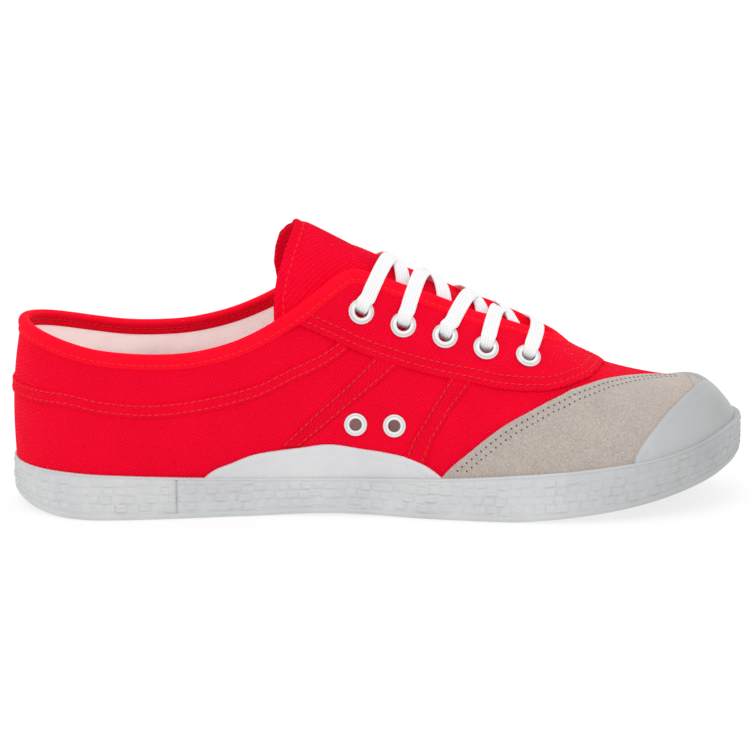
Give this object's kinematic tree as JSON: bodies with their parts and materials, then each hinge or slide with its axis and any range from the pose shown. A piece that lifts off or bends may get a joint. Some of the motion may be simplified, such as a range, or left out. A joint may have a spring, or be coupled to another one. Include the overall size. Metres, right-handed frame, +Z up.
{
  "type": "canvas sneaker",
  "caption": "Low lace-up canvas sneaker for the left foot, with a rubber cup wall, small toe cap, suede toe guard, arch guard and flat laces.",
  "frame": {"origin": "centre of the bounding box on the floor under the sole", "axes": "+X from heel to toe, +Y to the outer side of the left foot, +Z up"},
  "size_m": [0.285, 0.1008, 0.1111],
  "materials": {
    "canvas_upper": "matte canvas",
    "canvas_eyestay": "matte canvas",
    "canvas_tongue": "matte canvas",
    "suede": "napped suede",
    "rubber_cap": "smooth",
    "rubber_guard": "smooth",
    "rubber_wall": "basket weave relief",
    "rubber_tread": "matte",
    "insole_cloth": "matte cloth",
    "eyelet_metal": "satin",
    "lace": "ribbed flat weave"
  },
  "bodies": {
    "root": {"upper": "canvas_upper", "eyestay": "canvas_eyestay", "tongue": "canvas_tongue", "mudguard": "suede", "toe_cap": "rubber_cap", "side_guard": "rubber_guard", "foxing": "rubber_wall", "outsole": "rubber_tread", "insole": "insole_cloth", "eyelet_inner_1": "eyelet_metal", "eyelet_inner_2": "eyelet_metal", "eyelet_inner_3": "eyelet_metal", "eyelet_inner_4": "eyelet_metal", "eyelet_inner_5": "eyelet_metal", "eyelet_outer_1": "eyelet_metal", "eyelet_outer_2": "eyelet_metal", "eyelet_outer_3": "eyelet_metal", "eyelet_outer_4": "eyelet_metal", "eyelet_outer_5": "eyelet_metal", "vent_eyelet_1": "eyelet_metal", "vent_eyelet_2": "eyelet_metal", "lace_cross_1": "lace", "lace_cross_2": "lace", "lace_cross_3": "lace", "lace_cross_4": "lace", "lace_bar_5": "lace"}
  },
  "joints": []
}
